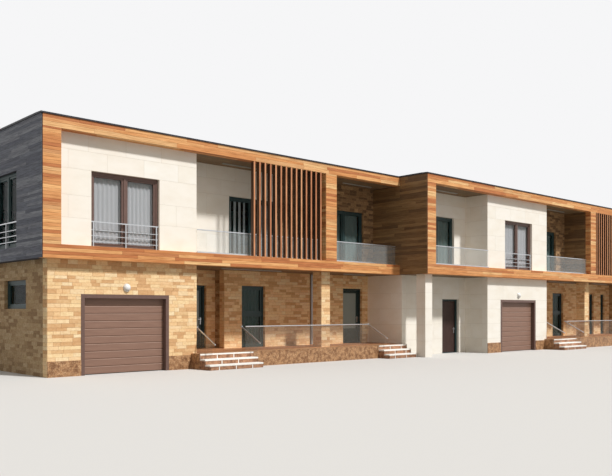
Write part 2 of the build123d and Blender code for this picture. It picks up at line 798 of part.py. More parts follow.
porch_runs = [
    (steps[0][0][1], steps[1][0][0], left_front),
    (steps[2][0][1], steps[3][0][0], right_front),
]
for (flight_end, next_flight, front), house_start in zip(porch_runs, (left_block[1], middle_block[1])):
    y = front + porch_glass_line
    glass_z = span(porch_level, porch_glass_height)
    last_handrail = next_flight + rail_knuckle / 2
    rail_x = (flight_end + level_rail_gap, next_flight)
    rail_z = glass_z[1] + rail_radius
    keep("porch_glass", [block(rail_x, (y - half_glass, y + half_glass), glass_z)])
    keep("porch_rails", [tube_between((rail_x[0], y, rail_z), (rail_x[1], y, rail_z), rail_radius)])
    for handrail_x in (house_start + wall_handrail_gap, flight_end - rail_knuckle / 2, last_handrail):
        keep("step_handrails", [step_handrail(handrail_x, front)])
        keep("porch_glass", [step_glass(handrail_x, front)])

# Downpipes in the niches, lights under the ceilings.
for niche_x, porch_wall in ((left_niche, left_porch_wall), (right_niche, right_porch_wall)):
    pipe_x = span(niche_x[0] + downpipe_side_gap, downpipe_width)
    niche_face = porch_wall + wall_thickness
    pipe_back = niche_face - downpipe_wall_gap
    pipe = block(pipe_x, (pipe_back - downpipe_width, pipe_back), raised_z)
    for bracket_z in (pane_head_level, porch_level + lower_bracket_height):
        pipe += block(pipe_x, (pipe_back, niche_face), span(bracket_z, downpipe_bracket_height))
    keep("downpipes", [pipe])
lights = [
    (left_block[1] + left_porch_light_offset, long_light, left_front, soffit_level),
    (middle_post[1] + side_porch_light_offset, side_porch_light, left_front, soffit_level),
    (middle_block[1] + right_porch_light_offset, long_light, right_front, soffit_level),
    (inner_post[1] + end_porch_light_offset, short_light, right_front, soffit_level),
    (left_block[1] + left_balcony_light_offset, short_light, left_front, roof_beam_level),
    (middle_post[1] + side_balcony_light_offset, short_light, left_front, roof_beam_level),
    (corner_post[1] + corner_balcony_light_offset, short_light, right_front, roof_beam_level),
    (middle_block[1] + inner_balcony_light_offset, short_light, right_front, roof_beam_level),
]
for light_start, light_length, front, ceiling in lights:
    light_y = span(front + light_line, light_width)
    light_z = (ceiling - light_height, ceiling)
    keep("ceiling_lights", [block(span(light_start, light_length), light_y, light_z)])


# Door sets. The jambs carry the stops and the lower hinge halves; the leaf swings inwards.
def hinge_levels(door_z):
    low = door_z[0] + hinge_end_distance
    high = door_z[1] - hinge_end_distance
    return [low + index * (high - low) / (hinge_count - 1) for index in range(hinge_count)]


def lower_hinge(axis, level):
    plate_x = (axis.X - hinge_plate_width, axis.X)
    plate_y = span(axis.Y - knuckle_radius, hinge_plate_thickness)
    plate = block(plate_x, plate_y, (level - knuckle_length, level - knuckle_gap))
    at_base = Pos(axis.X, axis.Y, level - knuckle_length)
    align = (Align.CENTER, Align.CENTER, Align.MIN)
    knuckle = at_base * Cylinder(knuckle_radius, knuckle_length - knuckle_gap, align=align)
    pin = at_base * Cylinder(pin_radius, knuckle_length + pin_rise, align=align)
    return plate + knuckle + pin


def upper_hinge(axis, level):
    plate_x = (axis.X, axis.X + hinge_plate_width)
    plate_y = span(axis.Y - knuckle_radius, hinge_plate_thickness)
    plate = block(plate_x, plate_y, span(level, knuckle_length))
    at_base = Pos(axis.X, axis.Y, level)
    align = (Align.CENTER, Align.CENTER, Align.MIN)
    knuckle = at_base * Cylinder(knuckle_radius, knuckle_length, align=align)
    bore = at_base * Cylinder(pin_radius + pin_clearance, knuckle_length, align=align)
    return (plate + knuckle) - bore


# A lever on a long plate on each face of the leaf, with the lock below it.
def door_handle(x, leaf_y, floor):
    lever_level = floor + handle_height
    plate_top = lever_level + handle_plate_rise
    half_plate = handle_plate_width / 2
    half_lever = lever_height / 2
    lever_z = (lever_level - half_lever, lever_level + half_lever)
    lock_z = span(lever_level - lock_drop - lock_height / 2, lock_height)
    handles = []
    for face, outward in ((leaf_y[0], -1), (leaf_y[1], 1)):
        plate_face = face + outward * handle_plate_thickness
        plate_y = sorted((face, plate_face))
        lever_y = sorted((face + outward * (lever_reach - lever_thickness), face + outward * lever_reach))
        neck_y = sorted((face, face + outward * lever_reach))
        lock_y = sorted((face, plate_face + outward * lock_projection))
        plate_z = (plate_top - handle_plate_height, plate_top)
        handle = block((x - half_plate, x + half_plate), plate_y, plate_z)
        handle += block((x - half_lever, x + half_lever), neck_y, lever_z)
        handle += block((x - lever_length, x + half_lever), lever_y, lever_z)
        handle += block((x - lock_width / 2, x + lock_width / 2), lock_y, lock_z)
        handles.append(handle)
    return handles


def door_set(name, x_span, wall_front, floor, head, hinged, glazed):
    y_front = wall_front + jamb_setback
    y_back = y_front + jamb_depth
    leaf_y = (y_back - leaf_thickness, y_back)
    stop_y = (y_front, leaf_y[0] - stop_gap)
    inner = (x_span[0] + jamb_face, x_span[1] - jamb_face)
    jamb_z = (floor, head - jamb_face)
    left_jamb = block((x_span[0], inner[0]), (y_front, y_back), jamb_z)
    left_jamb += block(span(inner[0], stop_width), stop_y, jamb_z)
    right_jamb = block((inner[1], x_span[1]), (y_front, y_back), jamb_z)
    right_jamb += block((inner[1] - stop_width, inner[1]), stop_y, jamb_z)
    top = block(x_span, (y_front, y_back), (head - jamb_face, head))
    sill = block(
        (inner[0] + stop_width, inner[1] - stop_width), (y_front, y_back), span(floor, sill_height)
    )
    edge_gap = leaf_gap if hinged else 0
    leaf_x = (inner[0] + edge_gap, inner[1] - edge_gap)
    leaf_z = (floor + sill_height + edge_gap, head - jamb_face - edge_gap)
    axis = Vector(inner[0] + leaf_gap / 2, y_back + knuckle_radius, 0)
    leaf = block(leaf_x, leaf_y, leaf_z)
    if hinged:
        for level in hinge_levels(leaf_z):
            left_jamb += lower_hinge(axis, level)
            leaf += upper_hinge(axis, level)
    if glazed:
        pane_x = (leaf_x[0] + stile_width, leaf_x[1] - stile_width)
        pane_z_span = (leaf_z[0] + bottom_rail_height, leaf_z[1] - stile_width)
        leaf -= block(pane_x, leaf_y, pane_z_span)
        middle = sum(leaf_y) / 2
        pane = block(pane_x, (middle - pane_thickness / 2, middle + pane_thickness / 2), pane_z_span)
        keep("window_glass" if not hinged else name + "_glass", [pane])
    handles = door_handle(leaf_x[1] - handle_backset, leaf_y, floor)
    keep("door_jambs", [left_jamb, right_jamb])
    keep("door_heads_and_sills", [top, sill])
    if hinged:
        keep(name, [leaf])
        keep(name + "_handles", handles)
    else:
        keep(name, [leaf + handles[0] + handles[1]])
    return axis


hinge_axes = {
    "recess_door": door_set(
        "recess_door", left_entrance, left_recess_wall, porch_level, pane_head_level, True, True
    ),
    "porch_door": door_set(
        "porch_door", porch_entrance, left_porch_wall, porch_level, pane_head_level, True, True
    ),
    "side_door": door_set(
        "side_door", side_door, right_balcony_wall, 0, side_door_head_level, True, False
    ),
}
door_set(
    "fixed_door", hidden_entrance, right_recess_wall, porch_level, pane_head_level, False, True
)

# The row's origin is on the ground at the middle of its outline.
everything = Compound([solid for solids in parts.values() for shape in solids for solid in shape.solids()])
outline = everything.bounding_box()
origin_shift = Pos(-outline.center().X, -outline.center().Y, -outline.min.Z)

os.makedirs("parts", exist_ok=True)
for name, shapes in parts.items():
    solids = [solid for shape in shapes for solid in shape.solids()]
    export_step(origin_shift * Compound(solids), f"parts/{name}.step")
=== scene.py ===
import math
import random

import bmesh
import bpy
import numpy as np
from mathutils import Matrix, Vector


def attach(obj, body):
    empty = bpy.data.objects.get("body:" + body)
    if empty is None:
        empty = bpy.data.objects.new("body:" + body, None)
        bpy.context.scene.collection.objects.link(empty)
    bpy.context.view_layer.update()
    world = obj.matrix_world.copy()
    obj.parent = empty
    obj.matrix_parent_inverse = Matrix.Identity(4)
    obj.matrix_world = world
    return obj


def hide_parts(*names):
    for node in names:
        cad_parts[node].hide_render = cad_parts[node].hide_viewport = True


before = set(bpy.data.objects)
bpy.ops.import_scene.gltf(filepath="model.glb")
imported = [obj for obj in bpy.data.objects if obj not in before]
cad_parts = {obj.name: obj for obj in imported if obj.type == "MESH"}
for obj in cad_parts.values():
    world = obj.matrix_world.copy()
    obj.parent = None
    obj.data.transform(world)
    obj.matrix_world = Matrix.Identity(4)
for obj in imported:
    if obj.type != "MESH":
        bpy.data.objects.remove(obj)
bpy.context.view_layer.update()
mainBody = "house_row"
siteShift = Vector((-17.895, -4.160, 0.0))  # from the drawing's zero, the left front corner
print("stage: frame loaded")

# Finishes. A colour is written as red, green and blue up to 255, and a noise runs from 0 to 1.
white = (255, 255, 255)
noiseDetail = 5.0
veinStops = (0.3, 0.6)  # where on the noise a vein is darkest, and where it ends
mottleStart, mottleSpan = 0.32, 0.36


def toLinear(colour):
    values = [value / 255 for value in colour]
    values = [v / 12.92 if v < 0.04045 else ((v + 0.055) / 1.055) ** 2.4 for v in values]
    return (*values, 1.0)


def startFinish(name, roughness, metallic=0.0, specular=0.4):
    finish = bpy.data.materials.new(name)
    finish.use_nodes = True
    shader = finish.node_tree.nodes["Principled BSDF"]
    shader.inputs["Roughness"].default_value = roughness
    shader.inputs["Metallic"].default_value = metallic
    shader.inputs["Specular IOR Level"].default_value = specular
    return finish, finish.node_tree, shader


def placedNoise(tree, vector, stretch, scale):
    mapping = tree.nodes.new("ShaderNodeMapping")
    mapping.inputs["Scale"].default_value = stretch
    noise = tree.nodes.new("ShaderNodeTexNoise")
    noise.inputs["Scale"].default_value = scale
    noise.inputs["Detail"].default_value = noiseDetail
    tree.links.new(vector, mapping.inputs["Vector"])
    tree.links.new(mapping.outputs["Vector"], noise.inputs["Vector"])
    return noise.outputs["Fac"]


def shadeBy(tree, factor, stops):
    ramp = tree.nodes.new("ShaderNodeValToRGB")
    places = ramp.color_ramp.elements
    places.remove(places[1])
    places[0].position = stops[0][0]
    places[0].color = toLinear(stops[0][1])
    for place, colour in stops[1:]:
        places.new(place).color = toLinear(colour)
    tree.links.new(factor, ramp.inputs["Fac"])
    return ramp.outputs["Color"]


def evenStops(tones):
    return [(index / len(tones), tone) for index, tone in enumerate(tones)]


def multiply(tree, first, second):
    mix = tree.nodes.new("ShaderNodeMix")
    mix.data_type = "RGBA"
    mix.blend_type = "MULTIPLY"
    mix.inputs[0].default_value = 1.0
    tree.links.new(first, mix.inputs[6])
    tree.links.new(second, mix.inputs[7])
    return mix.outputs[2]


def roughenBy(tree, shader, factor, low, high):
    spread = tree.nodes.new("ShaderNodeMapRange")
    spread.inputs["To Min"].default_value = low
    spread.inputs["To Max"].default_value = high
    tree.links.new(factor, spread.inputs["Value"])
    tree.links.new(spread.outputs["Result"], shader.inputs["Roughness"])


def bumpBy(tree, shader, factor, distance, strength=0.5):
    bump = tree.nodes.new("ShaderNodeBump")
    bump.inputs["Strength"].default_value = strength
    bump.inputs["Distance"].default_value = distance
    tree.links.new(factor, bump.inputs["Height"])
    tree.links.new(bump.outputs["Normal"], shader.inputs["Normal"])


def objectPlace(tree):
    return tree.nodes.new("ShaderNodeTexCoord").outputs["Object"]


def grainOver(tree, shader, base, vector, stretch, scale, darkest, roughness, depth):
    fine = placedNoise(tree, vector, stretch, scale)
    veins = shadeBy(tree, fine, [(veinStops[0], darkest), (veinStops[1], white)])
    tree.links.new(multiply(tree, base, veins), shader.inputs["Base Color"])
    roughenBy(tree, shader, fine, *roughness)
    bumpBy(tree, shader, fine, depth)


# A laid finish reads "lay" on the piece: run along the board or course, height across it, own shade.
def laidFinish(name, tones, grain, grainScale, darkest, roughness, depth):
    finish, tree, shader = startFinish(name, roughness[0])
    lay = tree.nodes.new("ShaderNodeAttribute")
    lay.attribute_type = "GEOMETRY"
    lay.attribute_name = "lay"
    split = tree.nodes.new("ShaderNodeSeparateXYZ")
    tree.links.new(lay.outputs["Vector"], split.inputs["Vector"])
    base = shadeBy(tree, split.outputs["Z"], evenStops(tones))
    grainOver(tree, shader, base, lay.outputs["Vector"], grain, grainScale, darkest, roughness, depth)
    return finish


# A plain finish mottles between near shades of one colour, in the object's own place.
def mottledFinish(name, colours, stretch, scale, roughness, depth, metallic=0.0, specular=0.4):
    finish, tree, shader = startFinish(name, roughness[0], metallic, specular)
    noise = placedNoise(tree, objectPlace(tree), stretch, scale)
    last = len(colours) - 1
    stops = [(mottleStart + mottleSpan * index / last, tone) for index, tone in enumerate(colours)]
    tree.links.new(shadeBy(tree, noise, stops), shader.inputs["Base Color"])
    roughenBy(tree, shader, noise, *roughness)
    bumpBy(tree, shader, noise, depth)
    return finish


# Crystals of a few colours, with darker clouds over them.
speckleValues = {"cloudScale": 9.0, "cloudStops": (0.36, 0.6), "cloudTone": (186, 174, 166),
                 "depth": 0.0008}


def speckledFinish(name, colours, grainScale, roughness):
    finish, tree, shader = startFinish(name, roughness[0])
    place = objectPlace(tree)
    cells = tree.nodes.new("ShaderNodeTexVoronoi")
    cells.inputs["Scale"].default_value = grainScale
    tree.links.new(place, cells.inputs["Vector"])
    grey = tree.nodes.new("ShaderNodeRGBToBW")
    tree.links.new(cells.outputs["Color"], grey.inputs["Color"])
    crystals = shadeBy(tree, grey.outputs["Val"], evenStops(colours))
    clouds = placedNoise(tree, place, (1, 1, 1), speckleValues["cloudScale"])
    darkest, clear = speckleValues["cloudStops"]
    shading = shadeBy(tree, clouds, [(darkest, speckleValues["cloudTone"]), (clear, white)])
    tree.links.new(multiply(tree, crystals, shading), shader.inputs["Base Color"])
    roughenBy(tree, shader, clouds, *roughness)
    bumpBy(tree, shader, grey.outputs["Val"], speckleValues["depth"])
    return finish


glassValues = {"cloudScale": 0.9, "roughSpread": 0.05, "depth": 0.0004, "specular": 0.6}


def glassFinish(name, colours, alpha, roughness):
    roughnesses = (roughness, roughness + glassValues["roughSpread"])
    finish = mottledFinish(name, colours, (1, 1, 1), glassValues["cloudScale"], roughnesses,
                           glassValues["depth"], specular=glassValues["specular"])
    finish.node_tree.nodes["Principled BSDF"].inputs["Alpha"].default_value = alpha
    return finish


# The slat screens' own faces get a dark copy of the slat timber, painted shade for the slats' sides,
# while slatFaces lays the lit fronts. The tone changes from one slat to the next, and the grain runs
# up.
slatShadeValues = {
    "tones": [(104, 74, 52), (92, 64, 44), (114, 82, 58), (84, 58, 40)], "pitch": 0.216,
    "darkest": (172, 156, 142), "grain": (40, 40, 1.6), "grainScale": 1.6, "roughness": (0.5, 0.7),
    "startRoughness": 0.6, "depth": 0.002,
}


def uprightFinish(name, values):
    finish, tree, shader = startFinish(name, values["startRoughness"])
    place = objectPlace(tree)
    split = tree.nodes.new("ShaderNodeSeparateXYZ")
    tree.links.new(place, split.inputs["Vector"])
    count = tree.nodes.new("ShaderNodeMath")
    count.operation = "SNAP"
    count.inputs[1].default_value = values["pitch"]
    tree.links.new(split.outputs["X"], count.inputs[0])
    shade = tree.nodes.new("ShaderNodeTexWhiteNoise")
    shade.noise_dimensions = "1D"
    tree.links.new(count.outputs["Value"], shade.inputs["W"])
    base = shadeBy(tree, shade.outputs["Value"], evenStops(values["tones"]))
    grainOver(tree, shader, base, place, values["grain"], values["grainScale"], values["darkest"],
              values["roughness"], values["depth"])
    return finish


clothValues = {"threads": 90.0, "waver": 1.5, "roughness": 0.85, "specular": 0.15, "sheen": 0.2,
               "depth": 0.0005, "strength": 0.3}


def clothFinish(name, colour, shade):
    finish, tree, shader = startFinish(name, clothValues["roughness"], specular=clothValues["specular"])
    weave = tree.nodes.new("ShaderNodeTexWave")
    weave.inputs["Scale"].default_value = clothValues["threads"]
    weave.inputs["Distortion"].default_value = clothValues["waver"]
    weave.bands_direction = "Z"
    tree.links.new(objectPlace(tree), weave.inputs["Vector"])
    tones = shadeBy(tree, weave.outputs["Fac"], [(0.0, shade), (1.0, colour)])
    tree.links.new(tones, shader.inputs["Base Color"])
    bumpBy(tree, shader, weave.outputs["Fac"], clothValues["depth"], clothValues["strength"])
    shader.inputs["Sheen Weight"].default_value = clothValues["sheen"]
    return finish


timberTones = [(240, 174, 110), (216, 144, 86), (250, 192, 128), (230, 160, 100), (252, 208, 148),
               (202, 128, 76)]
slatTones = [(232, 168, 122), (218, 150, 106), (240, 180, 134), (206, 138, 96)]
# Flank and divider boards: the oiled timber painted darker and less red, painted shade for faces turned
# away from the sun.
flankShadeTones = [(150, 118, 78), (128, 98, 64), (168, 134, 92), (140, 108, 70), (116, 88, 58)]
darkTones = [(134, 138, 148), (100, 104, 116), (158, 161, 168), (118, 121, 132), (84, 88, 100),
             (140, 142, 150)]
stoneTones = [(255, 226, 176), (252, 214, 162), (255, 231, 188), (244, 199, 147), (254, 222, 170),
              (224, 178, 128)]
# End wall stone: the same stone as the front, painted darker, painted shade for the end walls out of
# the sun.
endStoneShadeTones = [(200, 174, 136), (188, 160, 123), (206, 182, 146), (176, 146, 108), (196, 170, 131),
                 (160, 131, 96)]
# Balcony stone: darker than the front stone, partly the stone's own darker tone and partly painted
# shade of the deep balcony recess.
shadeStoneTones = [(176, 142, 102), (154, 120, 84), (192, 156, 114), (140, 108, 74), (124, 96, 66)]
slabTones = [(254, 248, 236), (252, 245, 232), (255, 250, 240), (253, 246, 234)]
# Soffit boards: darker and greyer than the oiled timber, painted shade under the roof and balconies.
soffitShadeTones = [(136, 112, 84), (124, 102, 76), (146, 121, 90)]
deckTones = [(190, 132, 90), (174, 118, 78), (200, 144, 100)]
pavedTones = [(196, 190, 182), (188, 182, 174), (203, 197, 188)]
roofTones = [(120, 122, 124), (112, 114, 117), (126, 128, 130)]
graniteTones = [(118, 84, 60), (178, 132, 92), (198, 152, 108), (160, 114, 78), (214, 174, 132)]
riserTones = [(132, 92, 68), (180, 132, 100), (196, 150, 116), (160, 114, 84)]
boardGrain, slatGrain, stoneGrain, evenGrain = (1.4, 38, 31), (38, 1.4, 31), (9, 13, 31), (1, 1, 1)

# Name, tones, grain's stretch and scale, darkest vein, roughness from and to, bump's depth.
laidFinishes = {
    "timberLaid": ("oiledBoards", timberTones, boardGrain, 1.5, (206, 184, 158), (0.5, 0.72), 0.0012),
    "flankShadeLaid": ("flankBoardsPaintedShade", flankShadeTones, boardGrain, 1.5, (190, 176, 158), (0.5, 0.72), 0.0016),
    "darkLaid": ("weatheredBoards", darkTones, (1.6, 46, 31), 1.8, (132, 132, 138), (0.6, 0.85), 0.002),
    "stoneLaid": ("sandStone", stoneTones, stoneGrain, 1.6, (242, 233, 222), (0.75, 0.95), 0.0022),
    "endStoneShadeLaid": ("endSandStonePaintedShade", endStoneShadeTones, stoneGrain, 1.6, (222, 208, 192), (0.75, 0.95),
                     0.0025),
    "slatLaid": ("slatFaces", slatTones, slatGrain, 1.5, (204, 184, 166), (0.5, 0.7), 0.0012),
    "shadeStoneLaid": ("balconyStoneDarkAndShaded", shadeStoneTones, stoneGrain, 1.6, (214, 202, 188),
                       (0.75, 0.95), 0.0025),
    "whiteLaid": ("whiteSlabs", slabTones, (1.3, 2.4, 17), 1.4, (250, 248, 245), (0.55, 0.75), 0.0002),
    "soffitShadeLaid": ("soffitBoardsPaintedShade", soffitShadeTones, boardGrain, 1.4, (190, 176, 164), (0.55, 0.75), 0.0012),
    "deckLaid": ("porchDeck", deckTones, boardGrain, 1.5, (170, 146, 126), (0.5, 0.7), 0.0014),
    "pavedLaid": ("balconyTiles", pavedTones, (4, 4, 17), 2.0, (226, 222, 216), (0.6, 0.8), 0.0008),
    "roofLaid": ("roofSheets", roofTones, (3, 3, 17), 3.0, (214, 214, 214), (0.75, 0.95), 0.003),
}

# Name, shades, stretch, scale, roughness from and to, bump's depth, and how metallic it is.
mottledFinishes = {
    "whiteTread": ("whiteTread", [(244, 240, 232), (252, 249, 243)], evenGrain, 9.0, (0.5, 0.7), 0.001),
    "timberGap": ("boardGaps", [(92, 58, 40), (108, 70, 48)], (1, 8, 8), 2.0, (0.8, 0.95), 0.001),
    "darkGap": ("darkGaps", [(44, 44, 50), (56, 56, 62)], (1, 8, 8), 2.0, (0.8, 0.95), 0.001),
    "stoneGap": ("stoneMortar", [(178, 138, 100), (196, 156, 115), (208, 168, 126)], evenGrain, 7.0,
                 (0.85, 0.98), 0.004),
    "whiteGap": ("whiteJoints", [(218, 209, 194), (226, 217, 203)], evenGrain, 5.0, (0.75, 0.9), 0.001),
    "inside": ("plainPlaster", [(214, 208, 198), (222, 216, 206)], evenGrain, 3.0, (0.8, 0.95), 0.001),
    "roofGap": ("roofFelt", [(84, 86, 88), (96, 98, 100)], evenGrain, 6.0, (0.85, 0.98), 0.002),
    "brownFrame": ("brownFrame", [(104, 80, 72), (114, 89, 80)], evenGrain, 14.0, (0.35, 0.5), 0.0004),
    "darkFrame": ("darkFrame", [(38, 58, 58), (47, 68, 68)], evenGrain, 14.0, (0.35, 0.5), 0.0004),
    "garage": ("garageMetal", [(138, 106, 90), (148, 115, 98)], (0.6, 6, 6), 3.0, (0.4, 0.55), 0.0008),
    # painted highlight: a brighter copy of the garage metal, for the strips under the grooves
    "garagePaintedHighlight": ("garagePaintedHighlight", [(190, 160, 144), (200, 171, 155)], (0.6, 6, 6), 3.0, (0.35, 0.5),
                  0.0004),
    "sideDoor": ("sideDoorPaint", [(58, 40, 36), (68, 48, 43)], (6, 6, 1), 3.0, (0.4, 0.55), 0.0008),
    "steel": ("brushedSteel", [(196, 198, 200), (214, 216, 218)], (2, 40, 40), 3.0, (0.24, 0.38),
              0.0002, 0.85),
    "coping": ("copingMetal", [(48, 48, 52), (58, 58, 62)], (1, 4, 4), 2.0, (0.4, 0.6), 0.0008, 0.5),
    "pipe": ("pipeMetal", [(158, 162, 166), (172, 176, 180)], (14, 14, 1), 2.0, (0.35, 0.5), 0.0004,
             0.4),
    "ceilingLamp": ("ceilingLamp", [(164, 162, 156), (176, 174, 168)], evenGrain, 8.0, (0.3, 0.45),
                    0.0003),
    "lamp": ("opalLamp", [(240, 238, 234), (247, 245, 241)], evenGrain, 8.0, (0.2, 0.3), 0.0003),
}

finishes = {key: laidFinish(*values) for key, values in laidFinishes.items()}
finishes.update({key: mottledFinish(*values) for key, values in mottledFinishes.items()})
finishes.update({
    "granite": speckledFinish("granite", graniteTones, 52.0, (0.35, 0.6)),
    "riserStone": speckledFinish("riserStone", riserTones, 70.0, (0.45, 0.7)),
    "slatShade": uprightFinish("slatTimberPaintedShade", slatShadeValues),
    "windowGlass": glassFinish("tealGlass", [(20, 44, 42), (30, 56, 54)], 0.18, 0.03),
    # Balustrade glass: a whitish tint, painted reflection of the bright sky on the panes.
    "railGlassPaintedReflection": glassFinish("railGlassPaintedReflection", [(214, 220, 218), (226, 232, 230)], 0.13, 0.04),
    "porchGlass": glassFinish("porchGlass", [(150, 142, 130), (164, 156, 144)], 0.10, 0.03),
    "doorGlass": glassFinish("frostedGlass", [(148, 164, 162), (160, 175, 172)], 0.94, 0.22),
    "curtain": clothFinish("sheerCurtain", (250, 250, 252), (232, 233, 238)),
    "blind": clothFinish("balconyBlind", (236, 244, 246), (212, 224, 228)),
    "doorCurtain": clothFinish("doorCurtain", (150, 172, 170), (112, 136, 134)),
    "darkCurtain": clothFinish("greyCurtain", (92, 124, 116), (66, 96, 90)),
})

nodeFinishes = {
    "stoneGap": ["stone_front_walls", "stone_side_walls", "niche_walls", "door_lintels",
                 "stone_pillars", "upper_stone_walls"],
    "timberGap": ["timber_beams", "timber_posts", "balcony_dividers", "flank_cladding",
                  "boarded_ceilings"],
    "darkGap": ["clad_end_walls"],
    "whiteGap": ["white_front_walls", "white_side_walls", "upper_side_walls", "upper_white_walls",
                 "white_pillar", "side_door_lintel"],
    "inside": ["house_floors", "floor_slabs", "garage_floors"],
    "roofGap": ["roof_slabs", "roof_upstand"],
    "coping": ["roof_copings"],
    "slatShade": ["slat_screens"],
    "granite": ["granite_plinths", "porch_edges"],
    "whiteTread": ["upper_steps", "lower_steps"],
    "brownFrame": ["french_window_frames", "garage_door_frames"],
    "darkFrame": ["window_frames", "balcony_door_frames", "door_jambs", "door_heads_and_sills",
                  "recess_door", "porch_door", "fixed_door"],
    "garage": ["garage_doors"],
    "sideDoor": ["side_door"],
    "steel": ["juliet_railings", "balcony_rails", "porch_rails", "step_handrails",
              "recess_door_handles", "porch_door_handles", "side_door_handles"],
    "pipe": ["downpipes"],
    "windowGlass": ["window_glass"],
    "railGlassPaintedReflection": ["balcony_glass"],
    "porchGlass": ["porch_glass"],
    "doorGlass": ["recess_door_glass", "porch_door_glass"],
    "lamp": ["wall_lamps"],
    "ceilingLamp": ["ceiling_lights"],
}

for finishName, nodeNames in nodeFinishes.items():
    for nodeName in nodeNames:
        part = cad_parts[nodeName]
        if not part.material_slots:
            part.data.materials.append(finishes[finishName])
        for place in part.material_slots:
            place.material = finishes[finishName]
print("stage: finishes on the frame's parts")


def readTriangles(nodeName):
    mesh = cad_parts[nodeName].data
    mesh.calc_loop_triangles()
    corners = np.empty(len(mesh.vertices) * 3)
    mesh.vertices.foreach_get("co", corners)
    corners = corners.reshape(-1, 3) - np.array(siteShift)
    order = np.empty(len(mesh.loop_triangles) * 3, dtype=int)
    mesh.loop_triangles.foreach_get("vertices", order)
    return corners[order].reshape(-1, 3, 3)


def joinOnce(boxes, joinGap):
    for first in range(len(boxes)):
        for second in range(first + 1, len(boxes)):
            (lowA, highA), (lowB, highB) = boxes[first], boxes[second]
            if np.all(lowA - joinGap <= highB) and np.all(lowB - joinGap <= highA):
                boxes[first] = (np.minimum(lowA, lowB), np.maximum(highA, highB))
                del boxes[second]
                return True
    return False


weldGap = 0.0002  # corners of one solid that lie this close are one corner


# The lowest and highest corner of each solid, in site metres, with near solids joined in one box.
def solidBoxes(nodeNames, joinGap):
    boxes = []
    for nodeName in nodeNames:
        shape = bmesh.new()
        shape.from_mesh(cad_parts[nodeName].data)
        bmesh.ops.remove_doubles(shape, verts=shape.verts, dist=weldGap)
        waiting = set(shape.verts)
        for first in shape.verts:
            if first not in waiting:
                continue
            waiting.discard(first)
            island = [first]
            for vert in island:
                for edge in vert.link_edges:
                    other = edge.other_vert(vert)
                    if other in waiting:
                        waiting.discard(other)
                        island.append(other)
            places = np.array([vert.co - siteShift for vert in island])
            boxes.append((places.min(0), places.max(0)))
        shape.free()
    while joinOnce(boxes, joinGap):
        continue
    return sorted(boxes, key=lambda box: [round(float(value), 3) for value in (*box[0], *box[1])])


frameGap = 0.03  # a frame's solids lie closer together than this
openings = []
for group in (["french_window_frames"], ["window_frames"], ["balcony_door_frames"],
              ["garage_door_frames"], ["door_jambs", "door_heads_and_sills"]):
    openings += solidBoxes(group, frameGap)
print("stage: openings found", len(openings))

# Rooms behind the walls, so that nothing is laid where nobody sees it: x, y and z from and to, in
# site metres.
backWall, floorUnder, floorOver, roofUnder = 9.75, 2.995, 3.34, 6.245
roomBoxes = [
    (0.5, 4.48, 0.5, backWall, 0.0, floorUnder),
    (4.73, 6.835, 2.5, backWall, 0.0, floorUnder),
    (6.835, 13.66, 2.0, backWall, 0.0, floorUnder),
    (13.91, 17.59, 0.29, backWall, 0.0, floorUnder),
    (17.84, 21.82, -0.77, backWall, 0.0, floorUnder),
    (22.07, 24.175, 1.23, backWall, 0.0, floorUnder),
    (24.175, 31.06, 0.73, backWall, 0.0, floorUnder),
    (31.31, 35.29, -0.77, backWall, 0.0, floorUnder),
    (0.25, 13.49, 1.56, backWall, floorOver, roofUnder),
    (0.25, 4.48, 0.5, backWall, floorOver, roofUnder),
    (13.99, 35.54, 0.29, backWall, floorOver, roofUnder),
    (17.84, 21.82, -0.77, backWall, floorOver, roofUnder),
    (31.31, 35.54, -0.77, backWall, floorOver, roofUnder),
]
# Inside the roofs' edges only their own sheets are laid, and nothing under the coping.
roofWells = [(0.25, 13.99, 0.25, 10.0, 6.455, 6.56), (13.74, 35.54, -1.02, 10.0, 6.455, 6.56)]
underCoping = (-1.0, 37.0, -2.0, 11.0, 6.555, 6.6)
hiddenBoxes = roomBoxes + roofWells + [underCoping]


def insideAny(boxes, x, y, z):
    return any(a < x < b and c < y < d and e < z < f for a, b, c, d, e, f in boxes)


def finishPiece(name, shape, finish, smooth=False):
    mesh = bpy.data.meshes.new(name)
    shape.to_mesh(mesh)
    shape.free()
    mesh.materials.append(finishes[finish])
    if smooth:
        mesh.polygons.foreach_set("use_smooth", [True] * len(mesh.polygons))
    piece = bpy.data.objects.new(name, mesh)
    bpy.context.scene.collection.objects.link(piece)
    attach(piece, mainBody)
    return piece


# How stones, boards and slabs are laid on a wall's faces. Lengths are in metres.
layValues = {
    "sameFacing": 0.999, "samePlane": 0.0005, "leastNormal": 1e-12, "spanJoin": 0.002,
    "courseSeed": 11, "leastShare": 0.45, "firstShare": (0.45, 1.0),
    "leastSpan": 0.03, "leastSize": 0.001, "patchCorners": 1600,
    "probeOut": 0.03, "probeIn": 0.02,
    "revealTouch": 0.012, "revealSlack": 0.01, "revealClear": 0.002,
    "middleX": 17.0, "middleY": 9.0,
}


def crossings(flat, height):
    spans = []
    for triangle in flat:
        if not triangle[:, 1].min() < height < triangle[:, 1].max():
            continue
        hits = []
        for start, end in ((0, 1), (1, 2), (2, 0)):
            first, last = triangle[start], triangle[end]
            if (first[1] - height) * (last[1] - height) < 0:
                share = (height - first[1]) / (last[1] - first[1])
                hits.append(first[0] + share * (last[0] - first[0]))
        spans.append([min(hits), max(hits)])
    spans.sort()
    merged = []
    for span in spans:
        if merged and span[0] <= merged[-1][1] + layValues["spanJoin"]:
            merged[-1][1] = max(merged[-1][1], span[1])
        else:
            merged.append(span)
    return merged


